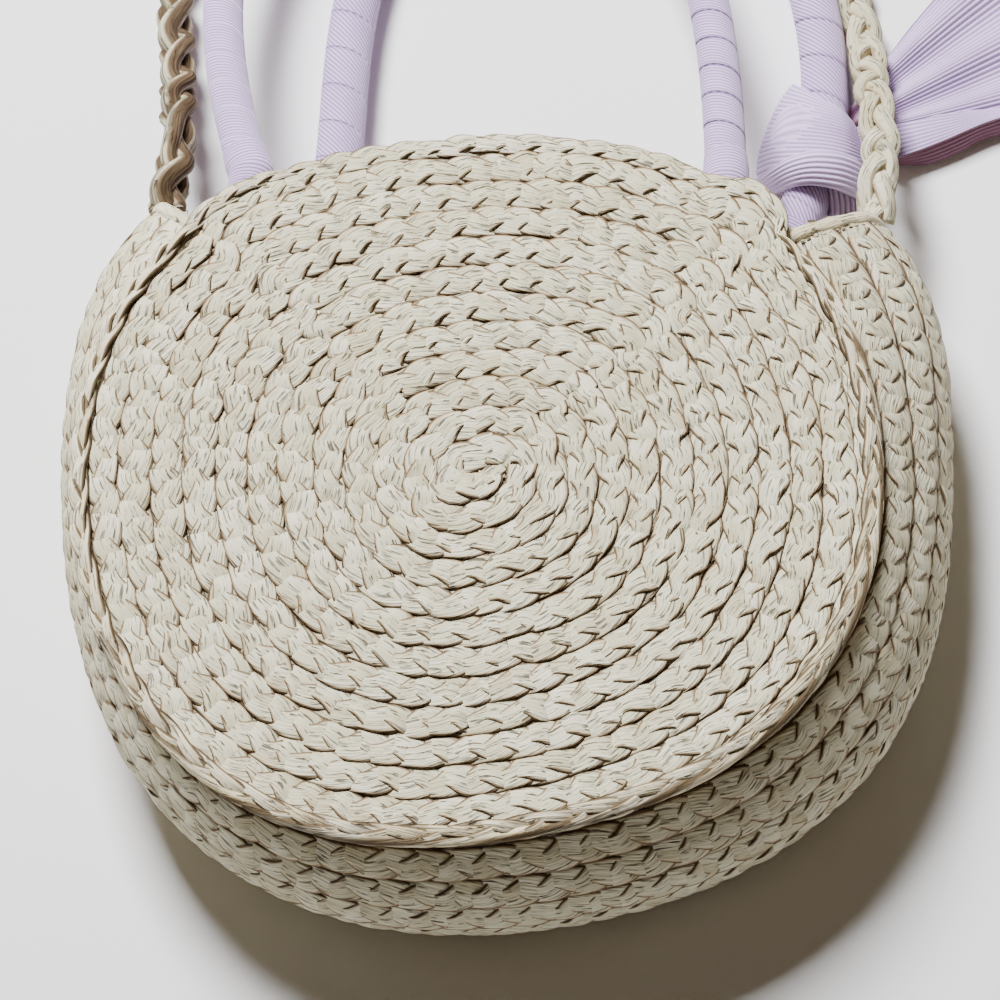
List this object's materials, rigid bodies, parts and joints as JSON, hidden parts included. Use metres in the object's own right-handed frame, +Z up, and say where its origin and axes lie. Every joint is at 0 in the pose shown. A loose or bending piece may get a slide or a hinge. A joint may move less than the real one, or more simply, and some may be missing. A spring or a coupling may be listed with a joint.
{
  "type": "straw sling bag",
  "caption": "Round straw sling bag with a deep gusset, wrapped cloth handles, a knotted scarf and a long plaited strap, laid on its back.",
  "frame": {"origin": "on the floor, at the middle of the back panel's outer face, on which the bag lies", "axes": "+Z up, out of the front panel; +Y towards the mouth and the handles; +X to the side where the scarf is knotted"},
  "size_m": [0.3836, 0.565, 0.07],
  "materials": {
    "straw": "plaited straw, dull",
    "straw_edge": "twisted straw edging, dull",
    "lilac_cloth": "finely pleated cloth with a soft sheen",
    "cotton_lining": "plain cotton, dull",
    "cotton_rope": "cotton rope and tape, dull",
    "nickel_plated_steel": "nickel plated",
    "ferrite": "dull"
  },
  "bodies": {
    "bag": {"front_panel": "straw", "back_panel": "straw", "gusset": "straw", "front_seam_ridge": "straw_edge", "back_seam_ridge": "straw_edge", "lining_front": "cotton_lining", "lining_back": "cotton_lining", "lining_gusset": "cotton_lining", "snap_stud": "nickel_plated_steel", "snap_socket": "nickel_plated_steel", "snap_magnet": "ferrite", "snap_washer_front": "nickel_plated_steel", "snap_washer_back": "nickel_plated_steel", "front_handle_tab_left": "lilac_cloth", "front_handle_tab_right": "lilac_cloth", "back_handle_tab_left": "lilac_cloth", "back_handle_tab_right": "lilac_cloth", "strap_left_run": "straw", "strap_coil": "straw", "strap_right_run": "straw", "strap_anchor_left": "cotton_rope", "strap_anchor_right": "cotton_rope"},
    "front_handle": {"front_handle_core": "cotton_rope", "front_handle_wrap": "lilac_cloth"},
    "back_handle": {"back_handle_core": "cotton_rope", "back_handle_wrap": "lilac_cloth", "scarf_knot": "lilac_cloth", "scarf_tuck": "lilac_cloth"},
    "upper_tail": {"scarf_tail_upper": "lilac_cloth"},
    "lower_tail": {"scarf_tail_lower": "lilac_cloth"}
  },
  "joints": [
    {"name": "front_handle_fold", "type": "hinge", "parent": "bag", "child": "front_handle", "pos_m": [-0.017, 0.10635, 0.0587], "axis": [1, 0, 0], "range_deg": [0, 86]},
    {"name": "back_handle_fold", "type": "hinge", "parent": "bag", "child": "back_handle", "pos_m": [0.001, 0.10755, 0.0125], "axis": [1, 0, 0], "range_deg": [-78, 0]},
    {"name": "upper_tail_swing", "type": "hinge", "parent": "back_handle", "child": "upper_tail", "pos_m": [0.10361, 0.16223, 0.0005], "axis": [0, 0, 1], "range_deg": [0, 7]},
    {"name": "lower_tail_swing", "type": "hinge", "parent": "back_handle", "child": "lower_tail", "pos_m": [0.10544, 0.14815, 0.0005], "axis": [0, 0, 1], "range_deg": [-15, 0]}
  ]
}
